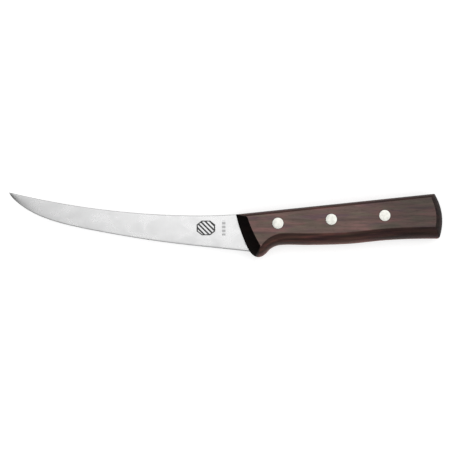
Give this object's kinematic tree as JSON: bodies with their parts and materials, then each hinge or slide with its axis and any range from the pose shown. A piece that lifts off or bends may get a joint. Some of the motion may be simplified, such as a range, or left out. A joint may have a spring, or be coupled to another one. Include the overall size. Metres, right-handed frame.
{
  "type": "boning knife",
  "caption": "Boning knife with a slim upswept curved blade, full tang and riveted wooden handle scales with a finger curve.",
  "frame": {"origin": "middle of the knife's bounding box, on the ground that its right scale lies on", "axes": "+X from the tip to the butt along the knife, +Y from the cutting edge to the spine, +Z through the thickness, from the right scale to the left one"},
  "size_m": [0.284, 0.0426, 0.0176],
  "materials": {
    "blade_steel": "satin, fine lengthwise polish",
    "scale_wood": "dark brown rosewood-like wood, satin oil finish",
    "rivet_metal": "pale metal, ground flush and fine turned"
  },
  "bodies": {
    "root": {"blade": "blade_steel", "left_scale": "scale_wood", "right_scale": "scale_wood", "front_rivet_socket": "rivet_metal", "front_rivet_pin": "rivet_metal", "middle_rivet_socket": "rivet_metal", "middle_rivet_pin": "rivet_metal", "rear_rivet_socket": "rivet_metal", "rear_rivet_pin": "rivet_metal"}
  },
  "joints": []
}
